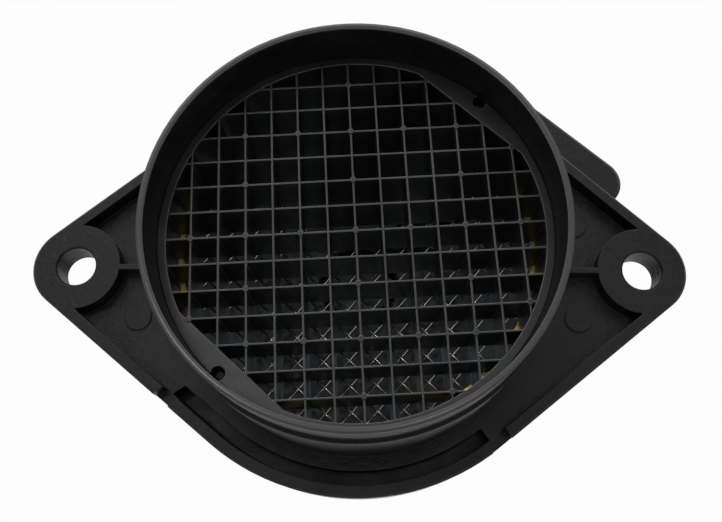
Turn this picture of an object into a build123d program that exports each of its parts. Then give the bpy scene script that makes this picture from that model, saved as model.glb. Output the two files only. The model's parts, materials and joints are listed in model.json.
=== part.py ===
from build123d import *
import math
import os

# Mass airflow sensor for an engine's intake pipe, in millimetres.
# The air passage runs along Z: air enters at the collar on top and leaves at the outlet spigot, whose
# end face lies on Z = 0 with the passage's axis as origin. The two mounting holes lie along X.
# The electronics module sits on the side of the duct at module_azimuth. Its pieces are drawn in the
# module's own frame, with X along the module, Y outwards from the duct and Z as it is, then turned.

# Duct
bore_r = 34.5            # radius of the air passage
overall_h = 104.0        # outlet end to inlet lip
tube_wall = 3.0          # wall of the duct behind the flange
seat_w = 1.6             # width of the seat that the grid's stack rests on in the inlet
lip_wall = 1.1           # wall at the inlet lip
lip_h = 9.3              # height of the thin lip, down to the step round the collar
lip_chamfer = 0.35
collar_step = 0.75       # how far the collar steps out below the lip
collar_h = 32.8          # inlet lip above the flange's sealing face

# Outlet spigot for the intake hose
spigot_h = 24.0
spigot_wall = 2.5
spigot_chamfer = 0.5
hose_stop_h = 3.0
hose_stop_proud = 2.0    # outside the duct's wall

# Flange, a diamond-shaped tray that faces the air box
hole_spacing = 118.7
hole_r = 4.05
hole_chamfer = 0.35
boss_r = 9.2
flange_margin = 8.15     # round part of the outline, outside the collar
shoulder_x = 1.7         # its second arc leans towards the module
shoulder_y = 3.3
rim_w = 2.4
rim_chamfer = 0.5
tray_depth = 4.0
floor_t = 2.5
rib_w = 1.1
gusset_t = 2.0
gusset_h = 16.0
gusset_reach = 10.5
gusset_directions = (112.0, 155.0, 205.0, -30.0)

# Trough along the lower rim, with a drain notch at each end; directions in degrees from +X
trough_w = 2.8
trough_depth = 5.6
trough_from = -145.3
trough_to = -52.2
trough_floor_t = 2.2
post_r = 1.5             # round post in the trough
post_direction = -103.6
drain_notches = ((-144.6, 3.8), (-51.2, 5.0))    # direction and width of each

# Pads that the mould's ejector pins leave: side, distance from the mounting hole, place along Y
ejector_r = 2.85
ejector_h = 0.4
ejector_spots = ((-1, 13.0, -9.9), (1, 13.0, -9.5), (1, 12.6, 11.5))

# Flow grid
insert_clear = 0.15      # gap round the grid and the screen frame in the inlet recess
grid_recess = 9.9        # grid front below the inlet lip
grid_depth = 10.4
grid_pitch = 5.0
blade_count = 13         # blades each way
blade_front = 0.32
blade_back = 0.55
grid_ring_wall = 1.4
ledge_w = 2.45           # width of the two ledges at their middle
ledge_t = 1.8
ledge_wall = 1.2
nub_r = 0.6
nub_sides = 6
nub_h = 0.25
nub_bite = 0.1           # how far a nub reaches down into its crossing
peg_r = 0.75
peg_inset = 0.95         # peg's axis from the wall of the inlet recess
peg_clear = 0.55
peg_drop = 2.2           # peg's top below the grid front

# Wire screen and its pressed metal frame
frame_h = 1.6
frame_t = 0.4
frame_w = 2.25
screen_t = 0.7
screen_pitch = 6.4
screen_bar = 1.0
screen_bite = 1.8        # how far the screen reaches into the frame
screen_clear = 0.05

# Electronics module
module_azimuth = 48.5
pad_proud = 3.5          # mounting face outside the duct's wall
pad_t = 3.0
module_gap = 0.6         # module below the flange
module_left = -24.0      # ends of the module, along its own X
module_right = 30.4
tray_h = 29.1
tray_d = 8.6             # tray's floor to the seam with the lid
tray_wall = 2.4
base_t = 3.0
lid_d = 6.2
lid_t = 2.4
lid_round = 5.8
lid_chamfer = 0.9
corner_round = 2.0
seal_w = 1.0
seal_h = 0.8
seal_clear = 0.05
foot_h = 7.0             # foot below the tray, for the two lower screws
ear_w = 8.1              # ear beyond the right end, for the third screw
ear_h = 14.0
ear_drop = 2.1           # ear's top below the tray's

# Module screws
screw_r = 1.75
screw_length = 8.5
screw_head_r = 3.1
screw_head_h = 2.3
screw_head_chamfer = 0.7
screw_hole_clear = 0.35
screw_grip_clear = 0.03
screw_boss_wall = 2.2
screw_tip_clear = 1.0
drive_af = 2.5
drive_depth = 1.3
lower_screw_inset = (10.0, 8.4)    # from the module's left and right ends

# Probe: strut, measuring tube and sensing elements
probe_rise = 12.0        # measuring tube's middle above the tray's lower side
strut_w = 8.0
strut_h = 18.0
port_clear = 0.3
port_wall = 2.5
port_seal_w = 1.6
port_seal_t = 1.2
port_seal_gap = 1.4
measuring_r = 7.2        # passage of the measuring tube
measuring_wall = 1.8
measuring_h = 24.0
measuring_lead_in = 1.2
measuring_boss = 5.0     # boss on the measuring tube's side that takes the strut
boss_inset = 1.5         # boss inside the strut's height, above and below
tenon_w = 4.8
tenon_h = 13.0
tenon_l = 4.0
tenon_clear = 0.1
element_t = 0.35
element_w = 2.4
element_l = 11.3
element_gap = 0.4        # root of an element to the measuring tube's wall
element_offset = 3.6     # each element from the probe's middle, along the flow
lead_side = 0.5
lead_spread = 0.7
lead_clear = 0.1
lead_stub = 0.6

# Circuit
plate_t = 1.2
plate_clear = 0.8        # heat plate to the tray's inner walls
plate_margin = 1.0       # rim of the heat plate outside the board
board_t = 0.8
board_room = 7.6         # room left of the heat plate for the pins

# Plug socket
socket_l = 18.5
socket_w = 22.0
socket_h = 10.4
socket_drop = 1.0        # socket's middle below the tray's
socket_seam_gap = 5.4    # socket's middle behind the seam with the lid
socket_wall = 1.5
socket_round = 2.4
socket_floor_t = 3.0
latch_w = 6.0
latch_h = 1.0
latch_l = 3.0
latch_setback = 7.0
pin_count = 5
pin_pitch = 3.8
pin_side = 0.8
pin_setback = 5.0        # pin's tip inside the socket's mouth
pin_clear = 0.05
pin_foot_inset = 0.2

# Components on the board: node name, place from the board's middle along the module and in height,
# length, width and height
components = (
    ("control_chip", 6.4, -1.6, 9.0, 7.0, 1.7),
    ("output_transistor", 14.9, 5.4, 6.5, 6.1, 2.3),
    ("filter_capacitor_1", -2.1, 6.4, 3.2, 2.5, 2.0),
    ("filter_capacitor_2", 2.4, 6.4, 3.2, 2.5, 2.0),
    ("filter_capacitor_3", 6.9, 6.4, 3.2, 2.5, 2.0),
    ("sense_resistor_1", -0.2, -7.6, 6.3, 3.2, 0.7),
    ("sense_resistor_2", 14.9, -6.6, 6.3, 3.2, 0.7),
)

# Radii that follow from the values above
insert_r = bore_r + seat_w
insert_out_r = insert_r - insert_clear
lip_r = insert_r + lip_wall
collar_r = lip_r + collar_step
tube_r = bore_r + tube_wall
spigot_r = bore_r + spigot_wall
flange_r = collar_r + flange_margin
grid_open_r = insert_out_r - grid_ring_wall
ledge_n = grid_open_r - ledge_w
frame_open_r = insert_out_r - frame_w
peg_place_r = insert_r - peg_inset
peg_hole_r = peg_r + peg_clear

# Heights that follow
seat_z = overall_h - collar_h
floor_z = seat_z - tray_depth
under_z = floor_z - floor_t
trough_z = floor_z - trough_depth
belt_z = trough_z - trough_floor_t
step_z = overall_h - lip_h
grid_front_z = overall_h - grid_recess
grid_back_z = grid_front_z - grid_depth
recess_z = grid_back_z - frame_h
tray_high_z = under_z - module_gap
tray_low_z = tray_high_z - tray_h
pad_low_z = tray_low_z - foot_h
ear_high_z = tray_high_z - ear_drop
ear_low_z = ear_high_z - ear_h
probe_z = tray_low_z + probe_rise
socket_z = (tray_low_z + tray_high_z) / 2 - socket_drop

# Distances from the duct's axis that follow, along the module's Y
pad_n = tube_r + pad_proud
base_n = pad_n + base_t
board_n = base_n + plate_t
board_top_n = board_n + board_t
seam_n = base_n + tray_d
module_n = seam_n + lid_d
socket_n = seam_n - socket_seam_gap
strut_end_n = measuring_r + measuring_wall + measuring_boss
element_root_n = measuring_r - element_gap

# Places along the module that follow
ear_right = module_right + ear_w
socket_left = module_left - socket_l
board_left = module_left + tray_wall + board_room + plate_margin
board_right = module_right - tray_wall - plate_clear - plate_margin
board_low_z = tray_low_z + tray_wall + plate_clear + plate_margin
board_high_z = tray_high_z - tray_wall - plate_clear - plate_margin

overlap = 0.5            # how far pieces of one moulding run into each other before they are joined


def ring(inner_r, outer_r, low_z, high_z):
    """Upright ring or, with no inner radius, a disc."""
    section = Circle(outer_r)
    if inner_r > 0:
        section -= Circle(inner_r)
    return Pos(0, 0, low_z) * extrude(section, high_z - low_z)


def brick(x_span, y_span, z_span):
    """Box between three pairs of limits."""
    spans = (x_span, y_span, z_span)
    middle = [(low + high) / 2 for low, high in spans]
    size = [high - low for low, high in spans]
    return Pos(*middle) * Box(*size)


def rod_y(radius, x, z, y_span):
    """Round rod or hole along Y."""
    low, high = y_span
    return Pos(x, (low + high) / 2, z) * Rot(90, 0, 0) * Cylinder(radius, high - low)


def lead_bar(z, y_span, clearance=0.0):
    """Square lead along Y at a height, or the hole for it when widened by a clearance."""
    half = lead_side / 2 + clearance
    return brick((-half, half), y_span, (z - half, z + half))


def in_module(shape):
    """Turn a piece from the module's frame to its place on the duct."""
    return Rot(0, 0, module_azimuth - 90) * shape


def towards(direction, radius):
    """Place at a radius in a direction, in degrees from +X."""
    angle = math.radians(direction)
    return radius * math.cos(angle), radius * math.sin(angle)


# ---------------------------------------------------------------- duct housing

def flange_outline(inset=0.0):
    """Hull of the two mounting bosses and the two arcs round the duct, drawn in by an inset."""
    spots = [
        (-hole_spacing / 2, 0, boss_r),
        (hole_spacing / 2, 0, boss_r),
        (0, 0, flange_r),
        (shoulder_x, shoulder_y, flange_r),
    ]
    edges = []
    for x, y, radius in spots:
        edges += (Pos(x, y) * Circle(radius - inset)).edges()
    return make_hull(edges)


def wedge(from_direction, to_direction):
    """Flat sector of a large circle, for picking out a stretch of the flange."""
    far = 2 * hole_spacing
    steps = 4
    points = [(0, 0)]
    for step in range(steps + 1):
        direction = from_direction + (to_direction - from_direction) * step / steps
        points.append(towards(direction, far))
    return make_face(Polyline(*points, close=True))


def trough_band(extra):
    """Plan of the trough along the lower rim, or of the belt below it when widened by extra."""
    band = flange_outline(rim_w - extra) - flange_outline(rim_w + trough_w + extra)
    turn = math.degrees(extra / flange_r)
    return band & wedge(trough_from - turn, trough_to + turn)


def sealing_plan():
    """Plan of all that stands up to the sealing face: the rim, the bosses and the two ribs."""
    plan = flange_outline() - flange_outline(rim_w)
    for side in (-1, 1):
        plan += Pos(side * hole_spacing / 2, 0) * Circle(boss_r)
    return plan + (Rectangle(hole_spacing, rib_w) - Circle(collar_r - overlap))


def flange():
    """Tray with its floor, what stands on it up to the sealing face, and the belt below the trough."""
    raised = Pos(0, 0, floor_z - overlap) * extrude(sealing_plan(), tray_depth + overlap)
    raised = chamfer(raised.faces().sort_by(Axis.Z)[-1].outer_wire().edges(), rim_chamfer)
    body = raised + Pos(0, 0, under_z) * extrude(flange_outline(), floor_t)
    belt = extrude(trough_band(rim_w), under_z - belt_z + overlap)
    return body + Pos(0, 0, belt_z) * belt


def ejector_marks():
    """Round pads that the mould's ejector pins leave on the tray floor, and the post in the trough."""
    marks = Part()
    for side, from_hole, y in ejector_spots:
        x = side * (hole_spacing / 2 - from_hole)
        marks += Pos(x, y, floor_z - overlap) * extrude(Circle(ejector_r), ejector_h + overlap)
    x, y = towards(post_direction, flange_r - rim_w - trough_w / 2 + overlap)
    return marks + Pos(x, y, trough_z - overlap) * extrude(Circle(post_r), trough_depth + overlap)


def flange_cuts():
    """Mounting holes with their lead-in, the trough and the two notches in the rim."""
    cuts = Pos(0, 0, trough_z) * extrude(trough_band(0.0), trough_depth + tray_depth)
    for side in (-1, 1):
        x = side * hole_spacing / 2
        cuts += Pos(x, 0, belt_z) * extrude(Circle(hole_r), overall_h - belt_z)
        cuts += Pos(x, 0, seat_z - hole_chamfer / 2) * Cone(hole_r, hole_r + hole_chamfer, hole_chamfer)
    for direction, width in drain_notches:
        span = (flange_r - rim_w - overlap, flange_r + boss_r)
        notch = brick(span, (-width / 2, width / 2), (floor_z, seat_z + overlap))
        cuts += Rot(0, 0, direction) * notch
    return cuts


def gussets():
    """Triangular webs between the duct and the back of the flange."""
    inner_r = tube_r - overlap
    outer_r = tube_r + gusset_reach
    side_view = Polyline(
        (inner_r, under_z + overlap), (outer_r, under_z + overlap), (outer_r, under_z),
        (inner_r + overlap, under_z - gusset_h), (inner_r, under_z - gusset_h), close=True,
    )
    web = extrude(Plane.XZ * make_face(side_view), gusset_t / 2, both=True)
    webs = Part()
    for direction in gusset_directions:
        webs += Rot(0, 0, direction) * web
    return webs


def screw_places():
    """Places of the module's screws in its frame, along the module and in height."""
    lower_z = (pad_low_z + tray_low_z) / 2
    from_left, from_right = lower_screw_inset
    return [
        (module_left + from_left, lower_z),
        (module_right - from_right, lower_z),
        ((module_right + ear_right) / 2, (ear_low_z + ear_high_z) / 2),
    ]


def module_pad():
    """Flat pad on the side of the duct, its webs, screw bosses and the wall round the probe port."""
    back_n = pad_n - pad_t
    z_span = (pad_low_z, under_z + overlap)
    pad = brick((module_left, module_right), (back_n, pad_n), z_span)
    pad += brick((module_right - overlap, ear_right), (back_n, pad_n), (ear_low_z, under_z + overlap))
    inner_left_n = math.sqrt(tube_r ** 2 - module_left ** 2) - tube_wall / 2
    pad += brick((module_left, module_left + tray_wall), (inner_left_n, pad_n), z_span)
    web_u = module_right - tray_wall
    inner_right_n = math.sqrt(tube_r ** 2 - module_right ** 2) - tube_wall / 2
    pad += brick((web_u, module_right), (inner_right_n, pad_n), z_span)
    pad += brick((module_left, module_right), (bore_r, pad_n), (pad_low_z, pad_low_z + tray_wall))
    half_w = strut_w / 2 + port_clear + port_wall
    half_h = strut_h / 2 + port_clear + port_wall
    pad += brick((-half_w, half_w), (bore_r, pad_n), (probe_z - half_h, probe_z + half_h))
    depth = screw_length - base_t + screw_tip_clear + tube_wall / 2
    for u, z in screw_places():
        pad += rod_y(screw_r + screw_boss_wall, u, z, (pad_n - depth, pad_n))
    return pad


def module_cuts():
    """Port for the probe's strut and the pilot holes for the module's screws."""
    half_w = strut_w / 2 + port_clear
    half_h = strut_h / 2 + port_clear
    port = brick((-half_w, half_w), (bore_r / 2, pad_n + overlap), (probe_z - half_h, probe_z + half_h))
    depth = screw_length - base_t + screw_tip_clear
    for u, z in screw_places():
        port += rod_y(screw_r + screw_grip_clear, u, z, (pad_n - depth, pad_n + overlap))
    return port


def duct_walls():
    """Solid core of the duct from the spigot to the inlet lip, with hose stop and stepped collar."""
    walls = ring(0, spigot_r, 0, spigot_h + overlap)
    walls = chamfer(walls.edges().group_by(Axis.Z)[0], spigot_chamfer)
    walls += ring(0, tube_r, spigot_h, floor_z)
    walls += ring(0, tube_r + hose_stop_proud, spigot_h, spigot_h + hose_stop_h)
    walls += ring(0, collar_r, under_z, step_z)
    return walls + ring(0, lip_r, step_z - overlap, overall_h)


def pegs():
    """Two pegs that stand on the recess floor and line up the grid."""
    top_z = grid_front_z - peg_drop
    peg = Pos(0, peg_place_r, recess_z - overlap) * extrude(Circle(peg_r), top_z - recess_z + overlap)
    return peg + Rot(0, 0, 180) * peg


def build_duct_housing():
    """One moulding: collar, flange, duct, outlet spigot and the module's pad."""
    housing = duct_walls() + flange() + gussets() + in_module(module_pad()) + ejector_marks()
    housing -= flange_cuts()
    housing -= ring(0, bore_r, -overlap, recess_z + overlap)
    housing -= ring(0, insert_r, recess_z, overall_h + overlap)
    housing -= in_module(module_cuts())
    lip_edges = housing.edges().filter_by(GeomType.CIRCLE).group_by(Axis.Z)[-1]
    housing = chamfer(lip_edges, lip_chamfer)
    return housing + in_module(pegs())


# ---------------------------------------------------------------- grid and screen

def grid_opening():
    """Plan of the grid's opening: a circle with the two ledges cut off."""
    opening = Circle(grid_open_r)
    return opening & Rectangle(3 * grid_open_r, 2 * ledge_n)


def grid_blades():
    """Crossing blades in the lattice's frame, each thicker at the back than at the front."""
    section = Polyline(
        (-blade_front / 2, grid_front_z), (blade_front / 2, grid_front_z),
        (blade_back / 2, grid_back_z), (-blade_back / 2, grid_back_z), close=True,
    )
    blade = extrude(Plane.XZ * make_face(section), grid_open_r, both=True)
    middle = (blade_count - 1) / 2
    row = [Pos((number - middle) * grid_pitch, 0, 0) * blade for number in range(blade_count)]
    across = [Rot(0, 0, 90) * each for each in row]
    return Part() + row + across


def nub_places():
    """Blade crossings inside the opening that carry a small nub, in the lattice's frame."""
    crossings = [(x, y) for x in (-4, 0, 4) for y in (-4, -2, 0, 2, 4)]
    crossings += [(x, y) for x in (-2, 2) for y in (-4, 0, 4)]
    crossings += [(-6, 0), (6, 0), (0, -6), (0, 6), (6, 3), (6, -3), (-6, -3), (3, -6)]
    places = [(column * grid_pitch, row * grid_pitch) for column, row in crossings]
    return [(x, y) for x, y in places if math.hypot(x, y) < grid_open_r - nub_r]


def build_flow_grid():
    """One moulding: ring, blades, two ledges with peg holes, and nubs on the crossings."""
    opening = Pos(0, 0, grid_back_z) * extrude(grid_opening(), grid_depth)
    grid = ring(0, insert_out_r, grid_back_z, grid_front_z) - opening
    grid += (Rot(0, 0, 45) * grid_blades()) & opening
    beyond = Circle(grid_open_r) - Rectangle(3 * grid_open_r, 2 * (ledge_n + ledge_wall))
    grid -= Pos(0, 0, grid_back_z) * extrude(beyond, grid_depth - ledge_t)
    hole = Pos(0, peg_place_r, grid_back_z - overlap) * extrude(Circle(peg_hole_r), grid_depth + 2 * overlap)
    grid -= hole
    grid -= Rot(0, 0, 180) * hole
    nubs = Sketch() + [Pos(x, y) * RegularPolygon(nub_r, nub_sides) for x, y in nub_places()]
    grid += Rot(0, 0, 45) * Pos(0, 0, grid_front_z - nub_bite) * extrude(nubs, nub_h + nub_bite)
    return in_module(grid)


def peg_slots(low_z, high_z):
    """Two open slots that let the pegs pass the screen and its frame."""
    half_w = peg_hole_r
    slot = brick((-half_w, half_w), (peg_place_r - peg_hole_r, insert_r), (low_z, high_z))
    return slot + Rot(0, 0, 180) * slot


def build_screen_frame():
    """Pressed metal ring of C section that holds the screen's edge."""
    slot_h = screen_t + 2 * screen_clear
    middle_z = recess_z + frame_h / 2
    frame = ring(frame_open_r, insert_out_r, recess_z, grid_back_z)
    slot_r = insert_out_r - frame_t
    frame -= ring(frame_open_r - overlap, slot_r, middle_z - slot_h / 2, middle_z + slot_h / 2)
    frame -= peg_slots(recess_z - overlap, grid_back_z + overlap)
    return in_module(frame)


def build_wire_screen():
    """Woven wire screen, drawn as one wall with its square gaps turned by 45 degrees to the grid."""
    screen_r = frame_open_r + screen_bite
    middle_z = recess_z + frame_h / 2
    low_z = middle_z - screen_t / 2
    screen = ring(0, screen_r, low_z, low_z + screen_t)
    gap = screen_pitch - screen_bar
    reach = int(frame_open_r / screen_pitch) + 1
    holes = Sketch()
    for column in range(-reach, reach + 1):
        for row in range(-reach, reach + 1):
            x = column * screen_pitch
            y = row * screen_pitch
            corner = math.hypot(abs(x) + gap / 2, abs(y) + gap / 2)
            if corner < frame_open_r:
                holes += Pos(x, y) * Rectangle(gap, gap)
    screen -= Pos(0, 0, low_z) * extrude(holes, screen_t)
    screen -= peg_slots(low_z - overlap, low_z + screen_t + overlap)
    return in_module(screen)


# ---------------------------------------------------------------- module shell

def lead_places():
    """Heights of the four leads: two for each sensing element."""
    middles = (probe_z - element_offset, probe_z + element_offset)
    return [middle + side * lead_spread for middle in middles for side in (-1, 1)]


def tray():
    """Open box of the carrier, its foot below the box and the ear beyond its right end."""
    body = brick((module_left, module_right), (pad_n, seam_n), (tray_low_z, tray_high_z))
    body = fillet(body.edges().filter_by(Axis.Y), corner_round)
    body += brick((module_left, module_right), (pad_n, base_n), (pad_low_z, tray_low_z + corner_round))
    body += brick((module_right - corner_round, ear_right), (pad_n, base_n), (ear_low_z, ear_high_z))
    inner_u = (module_left + tray_wall, module_right - tray_wall)
    inner_z = (tray_low_z + tray_wall, tray_high_z - tray_wall)
    body -= brick(inner_u, (base_n, seam_n + overlap), inner_z)
    return body


def socket():
    """Shroud of the plug socket with its latch nose, standing out of the tray's left wall."""
    z_span = (socket_z - socket_w / 2, socket_z + socket_w / 2)
    n_span = (socket_n - socket_h / 2, socket_n + socket_h / 2)
    shroud = brick((socket_left, module_left + tray_wall / 2), n_span, z_span)
    shroud = fillet(shroud.edges().filter_by(Axis.X), socket_round)
    nose_left = socket_left + latch_setback
    nose = Polyline(
        (nose_left, n_span[1] - overlap), (nose_left, n_span[1]), (nose_left + latch_l, n_span[1] + latch_h),
        (nose_left + latch_l, n_span[1] - overlap), close=True,
    )
    shroud += Pos(0, 0, socket_z) * extrude(make_face(nose), latch_w / 2, both=True)
    return shroud


def socket_cavity():
    """Hollow of the plug socket and the slots for its pins."""
    inner_round = socket_round - socket_wall / 2
    half_w = socket_w / 2 - socket_wall
    half_h = socket_h / 2 - socket_wall
    n_span = (socket_n - half_h, socket_n + half_h)
    z_span = (socket_z - half_w, socket_z + half_w)
    cavity = brick((socket_left - overlap, module_left - socket_floor_t), n_span, z_span)
    cavity = fillet(cavity.edges().filter_by(Axis.X), inner_round)
    half_side = pin_side / 2 + pin_clear
    for z in pin_places():
        u_span = (module_left - socket_floor_t - overlap, module_left + tray_wall + overlap)
        cavity += brick(u_span, (socket_n - half_side, socket_n + half_side), (z - half_side, z + half_side))
    return cavity


def seal_groove(clearance):
    """Rectangular track along the middle of the tray's wall, for the lid's seal."""
    middle = tray_wall / 2
    half = seal_w / 2 + clearance
    outer_in = middle - half
    inner_in = middle + half
    tracks = []
    for inset in (outer_in, inner_in):
        u_span = (module_left + inset, module_right - inset)
        z_span = (tray_low_z + inset, tray_high_z - inset)
        tracks.append(brick(u_span, (seam_n - seal_h, seam_n), z_span))
    return tracks[0] - tracks[1]


def port_seal_ring(clearance):
    """Rectangular ring round the probe port, let into the carrier's back."""
    rings = []
    for grow in (port_seal_gap + port_seal_w + clearance, port_seal_gap - clearance):
        half_w = strut_w / 2 + port_clear + grow
        half_h = strut_h / 2 + port_clear + grow
        span = (probe_z - half_h, probe_z + half_h)
        rings.append(brick((-half_w, half_w), (pad_n, pad_n + port_seal_t), span))
    return rings[0] - rings[1]


def strut():
    """Arm that carries the measuring tube into the air, with a tenon at its end."""
    z_span = (probe_z - strut_h / 2, probe_z + strut_h / 2)
    arm = brick((-strut_w / 2, strut_w / 2), (strut_end_n, pad_n + overlap), z_span)
    arm = fillet(arm.edges().filter_by(Axis.Y), strut_w / 4)
    tenon_z = (probe_z - tenon_h / 2, probe_z + tenon_h / 2)
    tenon_n = (strut_end_n - tenon_l, strut_end_n + overlap)
    return arm + brick((-tenon_w / 2, tenon_w / 2), tenon_n, tenon_z)


def build_module_carrier():
    """One moulding: tray, foot and ear, plug socket, and the probe's strut."""
    carrier = tray() + socket() + strut()
    carrier -= socket_cavity()
    carrier -= seal_groove(seal_clear)
    carrier -= port_seal_ring(seal_clear)
    for u, z in screw_places():
        carrier -= rod_y(screw_r + screw_hole_clear, u, z, (pad_n - overlap, base_n + overlap))
    for z in lead_places():
        carrier -= lead_bar(z, (0, base_n + overlap), lead_clear)
    return in_module(carrier)


def build_module_lid():
    """Moulded lid with large rounds at its two ends and a hollow underside."""
    lid = brick((module_left, module_right), (seam_n, module_n), (tray_low_z, tray_high_z))
    lid = fillet(lid.faces().sort_by(Axis.Y)[-1].edges().filter_by(Axis.Z), lid_round)
    side_edges = lid.faces().filter_by(Plane.XY).edges()
    lid = chamfer([edge for edge in side_edges if edge.center().Y > seam_n + overlap], lid_chamfer)
    inner_u = (module_left + tray_wall, module_right - tray_wall)
    inner_z = (tray_low_z + tray_wall, tray_high_z - tray_wall)
    lid -= brick(inner_u, (seam_n - overlap, module_n - lid_t), inner_z)
    return in_module(lid)


def build_lid_seal():
    """Soft seal in the tray's wall, under the lid."""
    return in_module(seal_groove(0.0))


def build_port_seal():
    """Soft seal between the carrier and the duct, round the probe port."""
    return in_module(port_seal_ring(0.0))


def build_module_screws():
    """Three pan-head screws that hold the carrier on the duct's pad."""
    screws = Part()
    for u, z in screw_places():
        shank = rod_y(screw_r, u, z, (base_n - screw_length, base_n + overlap))
        head = rod_y(screw_head_r, u, z, (base_n, base_n + screw_head_h))
        head = chamfer(head.edges().group_by(Axis.Y)[-1], screw_head_chamfer)
        drive = extrude(RegularPolygon(drive_af / 2, 6, major_radius=False), drive_depth)
        drive_cut = Pos(u, base_n + screw_head_h, z) * Rot(90, 0, 0) * drive
        screws += shank + head - drive_cut
    return in_module(screws)


# ---------------------------------------------------------------- probe

def build_measuring_tube():
    """Short tube in the middle of the duct, with a socket for the strut's tenon."""
    low_z = probe_z - measuring_h / 2
    high_z = probe_z + measuring_h / 2
    boss_z = (probe_z - strut_h / 2 + boss_inset, probe_z + strut_h / 2 - boss_inset)
    tube = ring(0, measuring_r + measuring_wall, low_z, high_z)
    tube += brick((-strut_w / 2, strut_w / 2), (0, strut_end_n), boss_z)
    tube -= ring(0, measuring_r, low_z - overlap, high_z + overlap)
    mouth = Cone(measuring_r, measuring_r + measuring_lead_in, measuring_lead_in)
    tube -= Pos(0, 0, high_z - measuring_lead_in / 2) * mouth
    half_w = tenon_w / 2 + tenon_clear
    half_h = tenon_h / 2 + tenon_clear
    tenon_n = (strut_end_n - tenon_l - tenon_clear, strut_end_n + overlap)
    tube -= brick((-half_w, half_w), tenon_n, (probe_z - half_h, probe_z + half_h))
    for z in lead_places():
        tube -= lead_bar(z, (0, strut_end_n), lead_clear)
    return in_module(tube)


def build_element(offset):
    """Thin sensing plate that stands in the measuring tube along the flow."""
    middle_z = probe_z + offset
    z_span = (middle_z - element_w / 2, middle_z + element_w / 2)
    n_span = (element_root_n - element_l, element_root_n)
    return in_module(brick((-element_t / 2, element_t / 2), n_span, z_span))


def build_element_lead(z):
    """Lead from a sensing plate through the strut to the circuit board."""
    return in_module(lead_bar(z, (element_root_n, board_top_n + lead_stub)))


# ---------------------------------------------------------------- circuit

def lead_holes(y_span):
    """Holes that let the four leads through a plate."""
    holes = Part()
    for z in lead_places():
        holes += lead_bar(z, y_span, 2 * lead_clear)
    return holes


def build_heat_plate():
    """Aluminium plate on the tray's floor, below the board."""
    u_span = (board_left - plate_margin, board_right + plate_margin)
    z_span = (board_low_z - plate_margin, board_high_z + plate_margin)
    plate = brick(u_span, (base_n, board_n), z_span)
    return in_module(plate - lead_holes((base_n - overlap, board_n + overlap)))


def build_circuit_board():
    """Ceramic board on the heat plate."""
    board = brick((board_left, board_right), (board_n, board_top_n), (board_low_z, board_high_z))
    return in_module(board - lead_holes((board_n - overlap, board_top_n + overlap)))


def build_component(from_middle_u, from_middle_z, length, width, height):
    """Component body that stands on the board."""
    u = (board_left + board_right) / 2 + from_middle_u
    z = (board_low_z + board_high_z) / 2 + from_middle_z
    u_span = (u - length / 2, u + length / 2)
    z_span = (z - width / 2, z + width / 2)
    body = brick(u_span, (board_top_n, board_top_n + height), z_span)
    top_edges = body.faces().sort_by(Axis.Y)[-1].edges()
    return in_module(chamfer(top_edges, height / 6))


def pin_places():
    """Heights of the plug socket's pins."""
    first = socket_z - (pin_count - 1) / 2 * pin_pitch
    return [first + pin_pitch * index for index in range(pin_count)]


def build_connector_pin(z):
    """Square pin from the plug socket through the wall, with a foot on the board."""
    half = pin_side / 2
    tip_u = socket_left + pin_setback
    foot_u = board_left + pin_foot_inset
    z_span = (z - half, z + half)
    bar = brick((tip_u, foot_u + pin_side), (socket_n - half, socket_n + half), z_span)
    tip_edges = bar.faces().sort_by(Axis.X)[0].edges()
    bar = chamfer(tip_edges, pin_side / 4)
    foot = brick((foot_u, foot_u + pin_side), (board_top_n, socket_n), z_span)
    return in_module(bar + foot)


def main():
    """Build every piece and write one STEP file for each."""
    pieces = {
        "duct_housing": build_duct_housing(),
        "flow_grid": build_flow_grid(),
        "screen_frame": build_screen_frame(),
        "wire_screen": build_wire_screen(),
        "module_carrier": build_module_carrier(),
        "module_lid": build_module_lid(),
        "lid_seal": build_lid_seal(),
        "port_seal": build_port_seal(),
        "module_screws": build_module_screws(),
        "measuring_tube": build_measuring_tube(),
        "heated_element": build_element(-element_offset),
        "temperature_element": build_element(element_offset),
        "heat_plate": build_heat_plate(),
        "circuit_board": build_circuit_board(),
    }
    for name, *place_and_size in components:
        pieces[name] = build_component(*place_and_size)
    for number, z in enumerate(lead_places(), start=1):
        pieces[f"element_lead_{number}"] = build_element_lead(z)
    for number, z in enumerate(pin_places(), start=1):
        pieces[f"connector_pin_{number}"] = build_connector_pin(z)
    os.makedirs("parts", exist_ok=True)
    for name, piece in pieces.items():
        piece.label = name
        export_step(piece, f"parts/{name}.step")


main()
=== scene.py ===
"""Looks of a mass airflow sensor for an engine's intake pipe.

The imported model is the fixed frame: every piece stays where it is, and this script gives it its finish.
The wire screen is woven here wire by wire and stands for its plain solid.
Sizes are in millimetres and are turned to metres where Blender needs them.
"""

from __future__ import annotations

import json
import logging
import math
from dataclasses import dataclass, replace
from enum import Enum
from typing import Any

import bpy
from mathutils import Matrix, Vector

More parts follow.
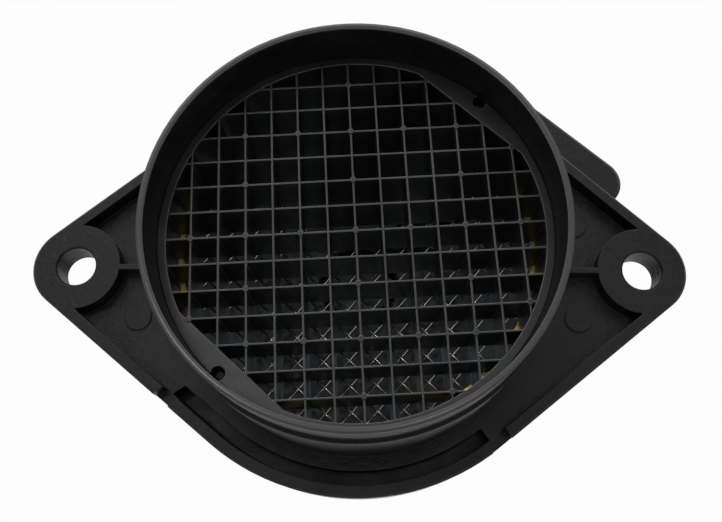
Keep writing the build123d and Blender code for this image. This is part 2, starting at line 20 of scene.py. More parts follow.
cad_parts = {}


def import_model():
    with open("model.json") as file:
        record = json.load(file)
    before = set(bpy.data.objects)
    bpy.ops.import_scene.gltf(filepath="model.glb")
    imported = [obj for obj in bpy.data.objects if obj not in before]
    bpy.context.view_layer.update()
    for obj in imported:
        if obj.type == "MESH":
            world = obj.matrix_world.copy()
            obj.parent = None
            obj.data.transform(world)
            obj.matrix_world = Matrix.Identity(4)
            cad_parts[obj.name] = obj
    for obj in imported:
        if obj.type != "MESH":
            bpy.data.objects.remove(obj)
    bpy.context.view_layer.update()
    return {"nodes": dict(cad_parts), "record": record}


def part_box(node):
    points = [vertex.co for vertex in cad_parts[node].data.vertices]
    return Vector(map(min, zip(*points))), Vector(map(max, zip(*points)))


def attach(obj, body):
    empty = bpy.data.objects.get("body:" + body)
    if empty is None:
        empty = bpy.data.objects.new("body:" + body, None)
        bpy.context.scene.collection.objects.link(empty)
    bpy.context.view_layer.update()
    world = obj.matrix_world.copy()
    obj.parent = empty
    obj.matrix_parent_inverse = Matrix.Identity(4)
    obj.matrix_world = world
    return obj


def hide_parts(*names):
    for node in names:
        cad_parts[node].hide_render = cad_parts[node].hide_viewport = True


LOG = logging.getLogger("airflow_sensor")
MM = 0.001
BODY = "root"


def linear(hex_colour: str) -> tuple[float, float, float, float]:
    """Turns an sRGB hex colour to the linear values that a shader socket takes.

    Args:
        hex_colour: Colour as "#rrggbb".

    Returns:
        Linear red, green, blue and an alpha of 1.
    """
    parts = [int(hex_colour[start:start + 2], 16) / 255 for start in (1, 3, 5)]
    curve = [part / 12.92 if part <= 0.04045 else ((part + 0.055) / 1.055) ** 2.4 for part in parts]
    return curve[0], curve[1], curve[2], 1.0


def per_metre(size_mm: float) -> float:
    """Gives the scale that makes a texture's features as large as a size.

    Args:
        size_mm: Size of the features in millimetres.

    Returns:
        Scale for coordinates in metres.
    """
    return 1.0 / (size_mm * MM)


def add_node(
    tree: bpy.types.NodeTree,
    kind: str,
    settings: dict[str, Any] | None = None,
    links: dict[str | int, bpy.types.NodeSocket] | None = None,
) -> bpy.types.Node:
    """Adds a node to a tree.

    Args:
        tree: The node tree of a material or world.
        kind: Blender's name of the node's type.
        settings: Values by name. "Stops" sets a colour ramp's stops, each a position and a hex
            colour. A name that is one of the node's properties sets it, and any other name sets the
            input socket of that name or number.
        links: Output sockets by the name or number of the input that each one feeds.

    Returns:
        The new node.
    """
    node = tree.nodes.new(kind)
    for name, value in (settings or {}).items():
        if name == "Stops":
            elements = node.color_ramp.elements
            for index, (position, colour) in enumerate(value):
                stop = elements[index] if index < len(elements) else elements.new(position)
                stop.position = position
                stop.color = linear(colour)
        elif isinstance(name, str) and hasattr(node, name):
            setattr(node, name, value)
        else:
            node.inputs[name].default_value = value
    for name, socket in (links or {}).items():
        tree.links.new(socket, node.inputs[name])
    return node


class Slot(Enum):
    """Material slots of the record."""

    HOUSING = "housing_plastic"
    GRID = "grid_plastic"
    MODULE = "module_plastic"
    PROBE = "probe_plastic"
    FRAME = "frame_metal"
    WIRE = "screen_wire"
    SEAL = "seal_rubber"
    SCREW = "screw_steel"
    PLATE = "plate_aluminium"
    BOARD = "board_ceramic"
    ELEMENT = "element_ceramic"
    CHIP = "chip_plastic"
    CAPACITOR = "capacitor_ceramic"
    RESISTOR = "resistor_film"
    LEAD = "lead_wire"
    PIN = "pin_metal"


# ------------------------------------------------------------------ finishes


@dataclass(frozen=True)
class Finish:
    """A finish: what a surface is made of and how it was made."""

    name: str

    def start(self) -> tuple[bpy.types.Material, bpy.types.NodeTree, bpy.types.NodeSocket]:
        """Starts a material.

        Returns:
            The material, its empty tree, and coordinates in metres that stay with the piece.
        """
        material = bpy.data.materials.new(self.name)
        material.use_nodes = True
        tree = material.node_tree
        tree.nodes.clear()
        place = add_node(tree, "ShaderNodeTexCoord")
        return material, tree, place.outputs["Object"]

    def end(self, tree: bpy.types.NodeTree, shader: bpy.types.Node) -> None:
        """Joins the shader to the material's output.

        Args:
            tree: The material's tree.
            shader: Its last shader node.
        """
        add_node(tree, "ShaderNodeOutputMaterial", links={"Surface": shader.outputs[0]})


@dataclass(frozen=True)
class GlassFilledMoulding(Finish):
    """Black PBT with short glass fibres, injection moulded in a spark-eroded tool.

    The tool leaves a fine matte grain, fibres near the surface show as pale flecks, and edges that
    are handled turn smoother. Edges are painted lighter brown-grey, partly wear and partly a painted
    highlight, and the lip's top lighter grey as a painted highlight.
    """

    colour: str = "#131314"
    streak_colour: str = "#1b1b1c"
    fleck_colour: str = "#3b3a38"
    # painted highlight along the edges, partly real wear: they are painted lighter brown-grey
    edge_scuff_and_highlight_colour: str = "#4c4641"
    roughness: float = 0.4
    worn_roughness: float = 0.3
    shine: float = 0.15          # real plastic has 0.5, which the white room would turn grey
    grain_mm: float = 1.3        # real grain is near 0.1 mm, drawn coarser so that it shows
    grain_depth_mm: float = 0.13
    fleck_mm: float = 0.9
    fleck_share: float = 0.5
    streak_mm: float = 9.0
    sag_mm: float = 14.0         # slow waviness of moulded walls
    sag_depth_mm: float = 0.03
    edge_mm: float = 0.25
    # share of that painted edge highlight and wear
    edge_scuff_and_highlight: float = 0.8
    lip_above_mm: float = 1000.0  # above this height edges are round and polished by handling, and painted lighter grey as a highlight
    lip_edge_mm: float = 0.5
    # painted highlight: the lip's top is painted lighter grey for the bright line that lamps draw on it
    lip_highlight_colour: str = "#464544"
    lip_roughness: float = 0.2
    lip_shine: float = 0.3       # above the walls', for the bright line of a handled lip
    lip_flatness: float = 0.74   # how far its top is nearer flat than round
    lip_fade_mm: float = 0.3     # height over which the handled look comes in
    lip_top_from_mm: float = 0.1
    lip_top_to_mm: float = 0.25
    lip_grain_share: float = 0.04
    bend_none: float = 0.995     # cosine between face and rounded edge where the edge scuffing and painted highlight start
    bend_full: float = 0.9       # and where it is complete

    def material(self) -> bpy.types.Material:
        """Builds the material.

        Returns:
            The new material.
        """
        material, tree, place = self.start()
        streaks = add_node(tree, "ShaderNodeTexNoise",
                           {"Scale": per_metre(self.streak_mm), "Detail": 5.0, "Distortion": 0.6},
                           {"Vector": place})
        base = add_node(tree, "ShaderNodeValToRGB",
                        {"Stops": [(0.35, self.colour), (0.7, self.streak_colour)]},
                        {"Fac": streaks.outputs["Fac"]})
        fleck = add_node(tree, "ShaderNodeTexNoise",
                         {"Scale": per_metre(self.fleck_mm), "Detail": 2.0}, {"Vector": place})
        fleck_mask = add_node(tree, "ShaderNodeMapRange",
                              {"From Min": 0.6, "From Max": 0.78, "To Max": self.fleck_share},
                              {"Value": fleck.outputs["Fac"]})
        flecked = add_node(tree, "ShaderNodeMix",
                           {"data_type": "RGBA", 7: linear(self.fleck_colour)},
                           {0: fleck_mask.outputs["Result"], 6: base.outputs["Color"]})
        split = add_node(tree, "ShaderNodeSeparateXYZ", links={"Vector": place})
        lip = add_node(tree, "ShaderNodeMapRange",
                       {"From Min": (self.lip_above_mm - self.lip_fade_mm) * MM,
                        "From Max": self.lip_above_mm * MM},
                       {"Value": split.outputs["Z"]})
        radius = add_node(tree, "ShaderNodeMix",
                          {"data_type": "FLOAT", 2: self.edge_mm * MM, 3: self.lip_edge_mm * MM},
                          {0: lip.outputs["Result"]})
        rounded = add_node(tree, "ShaderNodeBevel", {"samples": 10}, {"Radius": radius.outputs[0]})
        faces = add_node(tree, "ShaderNodeNewGeometry")
        bend = add_node(tree, "ShaderNodeVectorMath", {"operation": "DOT_PRODUCT"},
                        {0: rounded.outputs["Normal"], 1: faces.outputs["Normal"]})
        edge = add_node(tree, "ShaderNodeMapRange",
                        {"From Min": self.bend_none, "From Max": self.bend_full,
                         "To Max": self.edge_scuff_and_highlight},
                        {"Value": bend.outputs["Value"]})
        # painted highlight along the edges, partly wear, broken up by the streaks
        scuff_and_highlight_mask = add_node(tree, "ShaderNodeMath", {"operation": "MULTIPLY"},
                          {0: edge.outputs["Result"], 1: streaks.outputs["Fac"]})
        colour = add_node(tree, "ShaderNodeMix",
                          {"data_type": "RGBA", 7: linear(self.edge_scuff_and_highlight_colour)},
                          {0: scuff_and_highlight_mask.outputs["Value"], 6: flecked.outputs[2]})
        # painted highlight: the lip's top is painted lighter grey
        lip_highlight_painted = add_node(tree, "ShaderNodeMix", {"data_type": "RGBA", 7: linear(self.lip_highlight_colour)},
                          {0: lip.outputs["Result"], 6: colour.outputs[2]})
        matte = add_node(tree, "ShaderNodeMapRange",
                         {"From Min": 0.3, "From Max": 0.7,
                          "To Min": self.roughness - 0.07, "To Max": self.roughness + 0.09},
                         {"Value": streaks.outputs["Fac"]})
        polish = add_node(tree, "ShaderNodeMapRange",
                          {"From Min": self.bend_none, "From Max": self.bend_full},
                          {"Value": bend.outputs["Value"]})
        handled = add_node(tree, "ShaderNodeMix", {"data_type": "FLOAT", 3: self.worn_roughness},
                           {0: polish.outputs["Result"], 2: matte.outputs["Result"]})
        gloss = add_node(tree, "ShaderNodeMix", {"data_type": "FLOAT", 3: self.lip_roughness},
                         {0: lip.outputs["Result"], 2: handled.outputs[0]})
        grain = add_node(tree, "ShaderNodeTexNoise",
                         {"Scale": per_metre(self.grain_mm), "Detail": 3.0, "Roughness": 0.6},
                         {"Vector": place})
        sag = add_node(tree, "ShaderNodeTexNoise",
                       {"Scale": per_metre(self.sag_mm), "Detail": 1.0}, {"Vector": place})
        rim = add_node(tree, "ShaderNodeMapRange",
                       {"From Min": (self.lip_above_mm + self.lip_top_from_mm) * MM,
                        "From Max": (self.lip_above_mm + self.lip_top_to_mm) * MM,
                        "To Max": self.lip_flatness},
                       {"Value": split.outputs["Z"]})
        level = add_node(tree, "ShaderNodeMix",
                         {"data_type": "VECTOR", 5: (0.0, 0.0, 1.0)},
                         {0: rim.outputs["Result"], 4: rounded.outputs["Normal"]})
        crowned = add_node(tree, "ShaderNodeVectorMath", {"operation": "NORMALIZE"},
                           {0: level.outputs[1]})
        unpolished = add_node(tree, "ShaderNodeMapRange",
                              {"To Min": 1.0, "To Max": self.lip_grain_share},
                              {"Value": lip.outputs["Result"]})
        relief = add_node(tree, "ShaderNodeMath", {"operation": "MULTIPLY"},
                          {0: grain.outputs["Fac"], 1: unpolished.outputs["Result"]})
        waves = add_node(tree, "ShaderNodeBump", {"Distance": self.sag_depth_mm * MM},
                         {"Height": sag.outputs["Fac"], "Normal": crowned.outputs["Vector"]})
        surface = add_node(tree, "ShaderNodeBump", {"Distance": self.grain_depth_mm * MM},
                           {"Height": relief.outputs["Value"], "Normal": waves.outputs["Normal"]})
        mirror = add_node(tree, "ShaderNodeMix",
                          {"data_type": "FLOAT", 2: self.shine, 3: self.lip_shine},
                          {0: lip.outputs["Result"]})
        shader = add_node(tree, "ShaderNodeBsdfPrincipled", {"IOR": 1.54},
                          {"Base Color": lip_highlight_painted.outputs[2], "Roughness": gloss.outputs[0],
                           "Specular IOR Level": mirror.outputs[0], "Normal": surface.outputs["Normal"]})
        self.end(tree, shader)
        return material


@dataclass(frozen=True)
class DrawnWire(Finish):
    """Bright stainless or nickel wire, drawn through a die, which leaves fine lines along it; only
    patches of tone and gloss are drawn here.
    """

    colour: str = "#c9c4ba"
    shade_colour: str = "#8f8a80"
    roughness: float = 0.18
    patch_mm: float = 1.2

    def material(self) -> bpy.types.Material:
        """Builds the material.

        Returns:
            The new material.
        """
        material, tree, place = self.start()
        patches = add_node(tree, "ShaderNodeTexNoise",
                           {"Scale": per_metre(self.patch_mm), "Detail": 3.0}, {"Vector": place})
        colour = add_node(tree, "ShaderNodeValToRGB",
                          {"Stops": [(0.35, self.shade_colour), (0.65, self.colour)]},
                          {"Fac": patches.outputs["Fac"]})
        gloss = add_node(tree, "ShaderNodeMapRange",
                         {"To Min": self.roughness - 0.06, "To Max": self.roughness + 0.12},
                         {"Value": patches.outputs["Fac"]})
        shader = add_node(tree, "ShaderNodeBsdfPrincipled", {"Metallic": 1.0},
                          {"Base Color": colour.outputs["Color"], "Roughness": gloss.outputs["Result"]})
        self.end(tree, shader)
        return material


@dataclass(frozen=True)
class RolledStrip(Finish):
    """Metal strip or turned metal with a rolled, plated or passivated skin, slightly cloudy."""

    colour: str = "#c9c9cb"
    cloud_colour: str = "#a4a5a8"
    roughness: float = 0.3
    cloud_mm: float = 3.0
    scratch_mm: float = 0.4
    scratch_depth_mm: float = 0.004

    def material(self) -> bpy.types.Material:
        """Builds the material.

        Returns:
            The new material.
        """
        material, tree, place = self.start()
        clouds = add_node(tree, "ShaderNodeTexNoise",
                          {"Scale": per_metre(self.cloud_mm), "Detail": 4.0, "Distortion": 0.4},
                          {"Vector": place})
        colour = add_node(tree, "ShaderNodeValToRGB",
                          {"Stops": [(0.32, self.cloud_colour), (0.68, self.colour)]},
                          {"Fac": clouds.outputs["Fac"]})
        gloss = add_node(tree, "ShaderNodeMapRange",
                         {"To Min": self.roughness - 0.08, "To Max": self.roughness + 0.14},
                         {"Value": clouds.outputs["Fac"]})
        scratches = add_node(tree, "ShaderNodeTexNoise",
                             {"Scale": per_metre(self.scratch_mm), "Detail": 2.0}, {"Vector": place})
        bump = add_node(tree, "ShaderNodeBump", {"Distance": self.scratch_depth_mm * MM},
                        {"Height": scratches.outputs["Fac"]})
        shader = add_node(tree, "ShaderNodeBsdfPrincipled", {"Metallic": 1.0},
                          {"Base Color": colour.outputs["Color"], "Roughness": gloss.outputs["Result"],
                           "Normal": bump.outputs["Normal"]})
        self.end(tree, shader)
        return material


@dataclass(frozen=True)
class FineGrained(Finish):
    """Dense non-metal with a fine even grain: fired ceramic, moulded epoxy or rubber."""

    colour: str = "#d8d6cd"
    speck_colour: str = "#c4c1b6"
    roughness: float = 0.55
    ior: float = 1.6
    grain_mm: float = 0.4
    grain_depth_mm: float = 0.006

    def material(self) -> bpy.types.Material:
        """Builds the material.

        Returns:
            The new material.
        """
        material, tree, place = self.start()
        grain = add_node(tree, "ShaderNodeTexNoise",
                         {"Scale": per_metre(self.grain_mm), "Detail": 4.0}, {"Vector": place})
        colour = add_node(tree, "ShaderNodeValToRGB",
                          {"Stops": [(0.4, self.colour), (0.62, self.speck_colour)]},
                          {"Fac": grain.outputs["Fac"]})
        bump = add_node(tree, "ShaderNodeBump", {"Distance": self.grain_depth_mm * MM},
                        {"Height": grain.outputs["Fac"]})
        shader = add_node(tree, "ShaderNodeBsdfPrincipled",
                          {"IOR": self.ior, "Roughness": self.roughness},
                          {"Base Color": colour.outputs["Color"], "Normal": bump.outputs["Normal"]})
        self.end(tree, shader)
        return material


FINISHES: dict[Slot, Finish] = {
    # Black walls with a soft sheen, edges painted lighter brown-grey as partly wear and partly a painted
    # highlight, and a greyer line painted on the lip as a highlight.
    Slot.HOUSING: GlassFilledMoulding("housing PBT, moulded"),
    # Smoother than the housing, with pale grey painted highlights on its edges, so that the blades'
    # fronts draw thin pale lines.
    Slot.GRID: GlassFilledMoulding("grid PBT, moulded", colour="#1b1c1e", streak_colour="#232427",
                                   fleck_share=0.2, roughness=0.38, worn_roughness=0.12, edge_mm=0.2,
                                   grain_depth_mm=0.006, shine=0.3, edge_scuff_and_highlight_colour="#a9a7a4", edge_scuff_and_highlight=1.0),
    # The darkest and most matte of the mouldings.
    Slot.MODULE: GlassFilledMoulding("module PBT, moulded", colour="#101011", roughness=0.5,
                                     edge_mm=0.3),
    # Plain black deep in the duct.
    Slot.PROBE: GlassFilledMoulding("probe PBT, moulded", fleck_share=0.2, roughness=0.4,
                                    edge_mm=0.2),
    # A dull yellow edge behind the outer cells.
    Slot.FRAME: RolledStrip("brass strip, rolled", colour="#ecd99a", cloud_colour="#c2a75e",
                            roughness=0.36),
    # Small white glints where the wires cross.
    Slot.WIRE: DrawnWire("stainless wire, drawn", colour="#f5f3ee", shade_colour="#dcd9d0",
                         roughness=0.2),
    # Dead matte black in the joints.
    Slot.SEAL: FineGrained("EPDM rubber, moulded", colour="#161617", speck_colour="#202022",
                           roughness=0.75, ior=1.5),
    # Bright grey dots on the module's side.
    Slot.SCREW: RolledStrip("steel, zinc plated"),
    # Pale satin metal under the board.
    Slot.PLATE: RolledStrip("aluminium plate, rolled", colour="#d4d5d8", cloud_colour="#b9bbbf",
                            roughness=0.35),
    # Off-white and even.
    Slot.BOARD: FineGrained("alumina, fired"),
    # Light grey with a faint sheen.
    Slot.ELEMENT: FineGrained("alumina with platinum film, fired", colour="#b9b8b4",
                              speck_colour="#a5a4a1", roughness=0.35),
    # Near black with a fine grain.
    Slot.CHIP: FineGrained("epoxy, moulded", colour="#1a1a1c", speck_colour="#242427",
                           roughness=0.6, ior=1.55),
    # Small tan blocks on the pale board.
    Slot.CAPACITOR: FineGrained("titanate ceramic, fired", colour="#9c7c55",
                                speck_colour="#8b6c49", roughness=0.4, ior=2.0),
    # Dark blue-black with a slight gloss.
    Slot.RESISTOR: FineGrained("film resistor, coated", colour="#1b1c21", speck_colour="#25262c",
                               roughness=0.35),
    # Thin warm grey lines.
    Slot.LEAD: DrawnWire("nickel wire, drawn", colour="#cfc8b8"),
    # Pale gold tongues in the dark socket.
    Slot.PIN: RolledStrip("brass, tinned", colour="#d9d3c0", cloud_colour="#b8b09a",
                          roughness=0.25),
}


class Paintshop:
    """Makes each finish once and gives it to the nodes that the record lists for its slot."""

    def __init__(self, record: dict[str, Any]) -> None:
        """Reads which slot each node has.

        Args:
            record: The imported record.
        """
        self.slots = {part["node"]: Slot(part["material_slot"]) for part in record["subparts"]}
        self.finishes = dict(FINISHES)
        self.materials: dict[Slot, bpy.types.Material] = {}

    def adapt(self, slot: Slot, **sizes: float) -> None:
        """Changes sizes of a slot's finish before it is first used.

        Args:
            slot: The slot whose finish changes.
            sizes: New values by the finish's field names.
        """
        self.finishes[slot] = replace(self.finishes[slot], **sizes)

    def paint(self, piece: bpy.types.Object, slot: Slot) -> None:
        """Gives a piece one finish all over.

        Args:
            piece: The piece to finish.
            slot: The slot whose finish it gets.
        """
        if slot not in self.materials:
            self.materials[slot] = self.finishes[slot].material()
        piece.data.materials.clear()
        piece.data.materials.append(self.materials[slot])


# ------------------------------------------------------------------ pieces


@dataclass
class SubAssembly:
    """Pieces that are put together before they go into the part."""

    title: str
    pieces: tuple[str, ...]

    def build(self, nodes: dict[str, bpy.types.Object], shop: Paintshop) -> None:
        """Dresses the pieces of the frame, as most sub-assemblies need nothing else.

        Args:
            nodes: The nodes of the frame by name.
            shop: Where the finishes are made.
        """
        self.dress(nodes, shop)

    def dress(self, nodes: dict[str, bpy.types.Object], shop: Paintshop) -> None:
        """Gives each piece the finish of its slot and reports it.

        Args:
            nodes: The nodes of the frame by name.
            shop: Where the finishes are made.
        """
        for name in self.pieces:
            slot = shop.slots[name]
            shop.paint(nodes[name], slot)
            LOG.info("%s: %s, %s", self.title, name, shop.finishes[slot].name)


@dataclass
class DuctHousing(SubAssembly):
    """Duct with its tray-like flange, whose inlet lip is rubbed smooth where it slides into a seal and
    painted lighter grey as a highlight.
    """

    title: str = "duct housing"
    pieces: tuple[str, ...] = ("duct_housing",)
    inlet_lip_mm: float = 104.0
    rubbed_mm: float = 0.55      # how far down from the lip's top it is rubbed and painted lighter as a highlight
    crown_mm: float = 0.45       # rounding of the rubbed lip

    def build(self, nodes: dict[str, bpy.types.Object], shop: Paintshop) -> None:
        """Dresses the housing with its rubbed lip and the lip's painted highlight.

        Args:
            nodes: The nodes of the frame by name.
            shop: Where the finishes are made.
        """
        shop.adapt(Slot.HOUSING, lip_above_mm=self.inlet_lip_mm - self.rubbed_mm,
                   lip_edge_mm=self.crown_mm)
        self.dress(nodes, shop)


@dataclass
class FlowGrid(SubAssembly):
    """Grid of thin blades that straightens the air, in its ring."""

    title: str = "flow grid"
    pieces: tuple[str, ...] = ("flow_grid",)
    blade_edge_mm: float = 0.2   # rounding of the blades' fronts and of the ring's edges, and the width of their painted highlight

    def build(self, nodes: dict[str, bpy.types.Object], shop: Paintshop) -> None:
        """Dresses the grid with its rounded blade fronts and their painted highlight.

        Args:
            nodes: The nodes of the frame by name.
            shop: Where the finishes are made.
        """
        shop.adapt(Slot.GRID, edge_mm=self.blade_edge_mm)
        self.dress(nodes, shop)


@dataclass
class ElectronicsModule(SubAssembly):
    """Carrier with the circuit board under its lid, and the socket with its pins."""

    title: str = "electronics module"
    pieces: tuple[str, ...] = (
        "module_carrier", "module_lid", "lid_seal", "port_seal", "module_screws", "heat_plate",
        "circuit_board", "control_chip", "output_transistor",
        "filter_capacitor_1", "filter_capacitor_2", "filter_capacitor_3",
        "sense_resistor_1", "sense_resistor_2",
        "connector_pin_1", "connector_pin_2", "connector_pin_3", "connector_pin_4", "connector_pin_5",
    )
    case_edge_mm: float = 0.3    # rounding of the carrier's and the lid's edges

    def build(self, nodes: dict[str, bpy.types.Object], shop: Paintshop) -> None:
        """Dresses the module with its rounded case.

        Args:
            nodes: The nodes of the frame by name.
            shop: Where the finishes are made.
        """
        shop.adapt(Slot.MODULE, edge_mm=self.case_edge_mm)
        self.dress(nodes, shop)


@dataclass
class MeasuringProbe(SubAssembly):
    """Measuring tube in the air passage, with its two sensing elements on their leads."""

    title: str = "measuring probe"
    pieces: tuple[str, ...] = (
        "measuring_tube", "heated_element", "temperature_element",
        "element_lead_1", "element_lead_2", "element_lead_3", "element_lead_4",
    )


@dataclass
class WireScreen(SubAssembly):
    """Plain-woven wire screen in its brass frame.

    Its wires run along and across the electronics module.
    """

    title: str = "wire screen"
    pieces: tuple[str, ...] = ("screen_frame",)
    node: str = "wire_screen"
    pitch_mm: float = 3.4        # chosen, and finer than the gaps of the plain solid
    wire_mm: float = 0.36
    steps_per_pitch: int = 8
    sides: int = 6
    azimuth_deg: float = 48.5
    edge_inset_mm: float = 0.4

    def build(self, nodes: dict[str, bpy.types.Object], shop: Paintshop) -> None:
        """Dresses the frame and hangs the woven screen in it.

        Args:
            nodes: The nodes of the frame by name.
            shop: Where the finishes are made.
        """
        self.dress(nodes, shop)
        shop.paint(nodes[self.node], Slot.WIRE)
        screen = self.weave()
        shop.paint(screen, Slot.WIRE)
        LOG.info("%s: %s, %d faces", self.title, screen.name, len(screen.data.polygons))

    def weave(self) -> bpy.types.Object:
        """Weaves the screen in the space of its plain solid.

        Returns:
            One mesh with all the wires.
        """
        low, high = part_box(self.node)
        middle = (low + high) / 2
        radius = (high.x - low.x) / 2 - self.edge_inset_mm * MM
        vertices: list[Vector] = []
        faces: list[tuple[int, ...]] = []
        reach = int(radius / (self.pitch_mm * MM))
        for along_x in (True, False):
            for number in range(-reach, reach + 1):
                self.add_wire(vertices, faces, radius, number, along_x)
        mesh = bpy.data.meshes.new("woven_wire_screen")
        turn = Matrix.Translation(middle) @ Matrix.Rotation(math.radians(self.azimuth_deg), 4, "Z")
        mesh.from_pydata([turn @ vertex for vertex in vertices], [], faces)
        mesh.polygons.foreach_set("use_smooth", [True] * len(mesh.polygons))
        piece = bpy.data.objects.new("woven_wire_screen", mesh)
        bpy.context.scene.collection.objects.link(piece)
        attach(piece, BODY)
        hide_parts(self.node)
        return piece

    def add_wire(
        self,
        vertices: list[Vector],
        faces: list[tuple[int, ...]],
        radius: float,
        number: int,
        along_x: bool,
    ) -> None:
        """Adds one crimped wire with closed ends.

        Args:
            vertices: Vertices so far, extended here.
            faces: Faces so far, extended here.
            radius: Radius of the screen in metres.
            number: Which wire, counted from the middle.
            along_x: Whether it runs along X, as the warp does, or along Y.
        """
        pitch = self.pitch_mm * MM
        wire_r = self.wire_mm * MM / 2
        offset = number * pitch
        half = math.sqrt(radius ** 2 - offset ** 2)
        count = max(2, round(2 * half / pitch * self.steps_per_pitch))
        over = (-1) ** number * (1 if along_x else -1)
        start = len(vertices)
        for index in range(count + 1):
            run = -half + 2 * half * index / count
            phase = math.pi * run / pitch
            height = over * wire_r * math.cos(phase)
            slope = -over * wire_r * math.pi / pitch * math.sin(phase)
            tangent = Vector((1.0, 0.0, slope)).normalized()
            upward = Vector((-tangent.z, 0.0, tangent.x))
            for side in range(self.sides):
                angle = 2 * math.pi * side / self.sides
                point = Vector((run, offset, height))
                point += wire_r * (math.cos(angle) * Vector((0, 1, 0)) + math.sin(angle) * upward)
                vertices.append(point if along_x else Vector((point.y, point.x, point.z)))
        for index in range(count):
            for side in range(self.sides):
                here = start + index * self.sides
                beside = (side + 1) % self.sides
                quad = (here + side, here + beside, here + self.sides + beside, here + self.sides + side)
                faces.append(quad if along_x else quad[::-1])
        first = tuple(range(start, start + self.sides))
        last = tuple(start + count * self.sides + side for side in range(self.sides))
        faces.append(first[::-1] if along_x else first)
        faces.append(last if along_x else last[::-1])


@dataclass(frozen=True)
class Softbox:
    """Rectangular lamp that faces the object: its place and size in millimetres, watts and colour."""

    name: str
    place_mm: tuple[float, float, float]
    width_mm: float
    height_mm: float
    watts: float
    colour: str

    def build(self, aim: Vector) -> None:
        """Adds the lamp.

        Args:
            aim: Point in metres that it faces.
        """
        light = bpy.data.lights.new(self.name, "AREA")
        light.shape = "RECTANGLE"
        light.size = self.width_mm * MM
        light.size_y = self.height_mm * MM
        light.energy = self.watts
        light.color = linear(self.colour)[:3]
        lamp = bpy.data.objects.new(self.name, light)
        lamp.location = Vector(self.place_mm) * MM
        lamp.rotation_euler = (aim - lamp.location).to_track_quat("-Z", "Y").to_euler()
        bpy.context.scene.collection.objects.link(lamp)


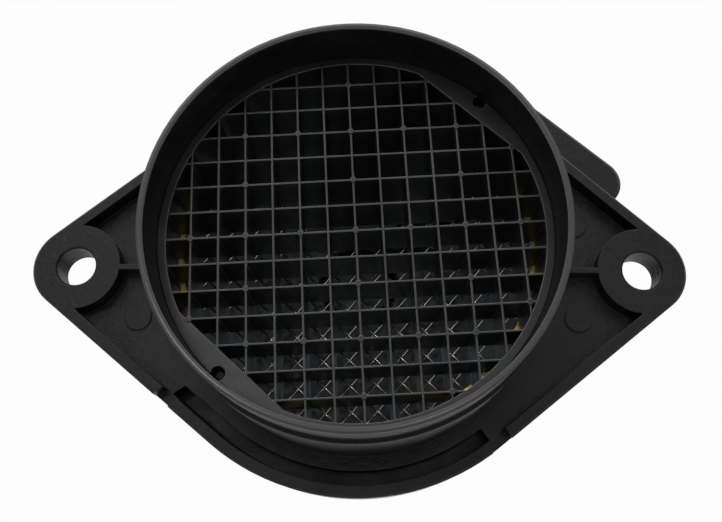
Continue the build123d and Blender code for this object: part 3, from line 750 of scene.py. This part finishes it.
@dataclass
class Studio:
    """Pale floor with a painted glow under the duct, soft lamps and the camera."""

    floor_size_mm: float = 3000.0
    fibre_mm: float = 6.0
    mottle_mm: float = 1.8
    room_colour: str = "#eef1f6"
    floor_colour: str = "#626262"
    floor_fibre_colour: str = "#5c5c5c"
    floor_glow: float = 0.975        # share of plain white that the camera sees in the floor
    shade_r_mm: float = 34.8         # under the duct the floor loses its white glow and gets a dim painted glow instead
    shade_edge_mm: float = 1.2
    # painted glow: how bright the floor under the duct glows for the camera, mottled
    shade_glow: float = 0.013
    duct_light: float = 0.13         # painted glow of the floor under the duct, which lights the duct's walls and wires
    # bluish colour of that painted glow
    shade_colour: str = "#e2eef6"
    camera_mm: tuple[float, float, float] = (3.14, -48.93, 226.36)
    aim_mm: tuple[float, float, float] = (1.04, -5.84, 94.1)
    roll_deg: float = -2.21
    lens_mm: float = 38.72
    sensor_mm: float = 36.0
    nearest_mm: float = 5.0
    wall_light: float = 0.9          # the room's walls near the horizon
    ceiling_light: float = 0.06      # the ceiling above
    lamps: tuple[Softbox, ...] = (
        Softbox("window_behind", (-90.0, 670.0, 670.0), 1000.0, 650.0, 4.9, "#f7f9ff"),
        Softbox("lamp_overhead", (-216.0, 145.0, 950.0), 130.0, 130.0, 0.62, "#fffaf2"),
        Softbox("lamp_above_screen", (80.0, 60.0, 945.0), 80.0, 80.0, 0.2, "#ffffff"),
    )

    def build(self) -> None:
        """Builds the studio round the object."""
        self.add_floor()
        self.light_world()
        for lamp in self.lamps:
            lamp.build(Vector(self.aim_mm) * MM)
        self.add_camera()

    def add_floor(self) -> None:
        """Adds the floor, which looks white to the camera, in mirrors and through glass.

        Its glow is so strong that the object's shadow on it can't be seen. Under the duct it has no white
        glow but a dim, mottled, bluish painted glow, which lights the duct's inside from below.
        """
        half = self.floor_size_mm * MM / 2
        mesh = bpy.data.meshes.new("studio_floor")
        corners = [(-half, -half, 0), (half, -half, 0), (half, half, 0), (-half, half, 0)]
        mesh.from_pydata(corners, [], [(0, 1, 2, 3)])
        floor = bpy.data.objects.new("studio_floor", mesh)
        bpy.context.scene.collection.objects.link(floor)
        material = bpy.data.materials.new("studio paper, matte")
        material.use_nodes = True
        tree = material.node_tree
        tree.nodes.clear()
        place = add_node(tree, "ShaderNodeTexCoord")
        fibres = add_node(tree, "ShaderNodeTexNoise", {"Scale": per_metre(self.fibre_mm), "Detail": 3.0},
                          {"Vector": place.outputs["Object"]})
        tone = add_node(tree, "ShaderNodeValToRGB",
                        {"Stops": [(0.3, self.floor_fibre_colour), (0.7, self.floor_colour)]},
                        {"Fac": fibres.outputs["Fac"]})
        paper = add_node(tree, "ShaderNodeBsdfDiffuse", links={"Color": tone.outputs["Color"]})
        glow = add_node(tree, "ShaderNodeEmission", {"Color": linear("#ffffff"), "Strength": 1.0})
        path = add_node(tree, "ShaderNodeLightPath")
        clear = add_node(tree, "ShaderNodeMath", {"operation": "MAXIMUM"},
                         {0: path.outputs["Is Camera Ray"], 1: path.outputs["Is Transmission Ray"]})
        looked_at = add_node(tree, "ShaderNodeMath", {"operation": "MAXIMUM"},
                             {0: path.outputs["Is Glossy Ray"], 1: clear.outputs["Value"]})
        distance = add_node(tree, "ShaderNodeVectorMath", {"operation": "LENGTH"},
                            {0: place.outputs["Object"]})
        rim = {"From Min": self.shade_r_mm * MM, "From Max": (self.shade_r_mm + self.shade_edge_mm) * MM}
        outside = add_node(tree, "ShaderNodeMapRange", {**rim, "To Max": self.floor_glow},
                           {"Value": distance.outputs["Value"]})
        inside = add_node(tree, "ShaderNodeMapRange", {**rim, "To Min": 1.0, "To Max": 0.0},
                          {"Value": distance.outputs["Value"]})
        # painted glow under the duct: mottled strength for the camera, duct_light for other rays
        mottle = add_node(tree, "ShaderNodeTexNoise",
                          {"Scale": per_metre(self.mottle_mm), "Detail": 4.0},
                          {"Vector": place.outputs["Object"]})
        cloudy = add_node(tree, "ShaderNodeMapRange",
                          {"From Min": 0.35, "From Max": 0.7, "To Min": 0.3 * self.shade_glow,
                           "To Max": 1.8 * self.shade_glow}, {"Value": mottle.outputs["Fac"]})
        level = add_node(tree, "ShaderNodeMix", {"data_type": "FLOAT", 2: self.duct_light},
                         {0: path.outputs["Is Camera Ray"], 3: cloudy.outputs["Result"]})
        strength = add_node(tree, "ShaderNodeMath", {"operation": "MULTIPLY"},
                            {0: inside.outputs["Result"], 1: level.outputs[0]})
        # painted glow: the floor under the duct glows bluish, though no lamp is there
        through = add_node(tree, "ShaderNodeEmission", {"Color": linear(self.shade_colour)},
                           {"Strength": strength.outputs["Value"]})
        seen = add_node(tree, "ShaderNodeMath", {"operation": "MULTIPLY"},
                        {0: looked_at.outputs["Value"], 1: outside.outputs["Result"]})
        mix = add_node(tree, "ShaderNodeMixShader",
                       links={0: seen.outputs["Value"], 1: paper.outputs[0], 2: glow.outputs[0]})
        both = add_node(tree, "ShaderNodeAddShader", links={0: mix.outputs[0], 1: through.outputs[0]})
        add_node(tree, "ShaderNodeOutputMaterial", links={"Surface": both.outputs[0]})
        mesh.materials.append(material)

    def light_world(self) -> None:
        """Lights the room dimly and shows it white to the camera, in mirrors and through glass."""
        world = bpy.data.worlds.new("studio")
        bpy.context.scene.world = world
        world.use_nodes = True
        tree = world.node_tree
        tree.nodes.clear()
        path = add_node(tree, "ShaderNodeLightPath")
        place = add_node(tree, "ShaderNodeTexCoord")
        split = add_node(tree, "ShaderNodeSeparateXYZ", links={"Vector": place.outputs["Generated"]})
        level = add_node(tree, "ShaderNodeMapRange",
                         {"interpolation_type": "SMOOTHSTEP", "From Max": 0.8,
                          "To Min": self.wall_light, "To Max": self.ceiling_light},
                         {"Value": split.outputs["Z"]})
        dim = add_node(tree, "ShaderNodeBackground", {"Color": linear(self.room_colour)},
                       {"Strength": level.outputs["Result"]})
        white = add_node(tree, "ShaderNodeBackground", {"Color": linear("#ffffff"), "Strength": 1.0})
        clear = add_node(tree, "ShaderNodeMath", {"operation": "MAXIMUM"},
                         {0: path.outputs["Is Camera Ray"], 1: path.outputs["Is Transmission Ray"]})
        seen = add_node(tree, "ShaderNodeMath", {"operation": "MAXIMUM"},
                        {0: path.outputs["Is Glossy Ray"], 1: clear.outputs["Value"]})
        mix = add_node(tree, "ShaderNodeMixShader",
                       links={0: seen.outputs["Value"], 1: dim.outputs[0], 2: white.outputs[0]})
        add_node(tree, "ShaderNodeOutputWorld", links={"Surface": mix.outputs[0]})

    def add_camera(self) -> None:
        """Adds the camera close above the inlet."""
        data = bpy.data.cameras.new("camera")
        data.lens = self.lens_mm
        data.sensor_width = self.sensor_mm
        data.clip_start = self.nearest_mm * MM
        camera = bpy.data.objects.new("camera", data)
        place = Vector(self.camera_mm) * MM
        look = (Vector(self.aim_mm) * MM - place).to_track_quat("-Z", "Y").to_matrix().to_4x4()
        roll = Matrix.Rotation(math.radians(self.roll_deg), 4, "Z")
        camera.matrix_world = Matrix.Translation(place) @ look @ roll
        bpy.context.scene.collection.objects.link(camera)
        bpy.context.scene.camera = camera


def main() -> None:
    """Loads the frame, dresses each piece and builds the studio."""
    logging.basicConfig(level=logging.INFO, format="%(message)s")
    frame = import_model()
    scene = bpy.context.scene
    scene.view_settings.view_transform = "Standard"
    shop = Paintshop(frame["record"])
    for assembly in (DuctHousing(), FlowGrid(), WireScreen(), ElectronicsModule(), MeasuringProbe()):
        assembly.build(frame["nodes"], shop)
    Studio().build()


if __name__ == "__main__":
    main()
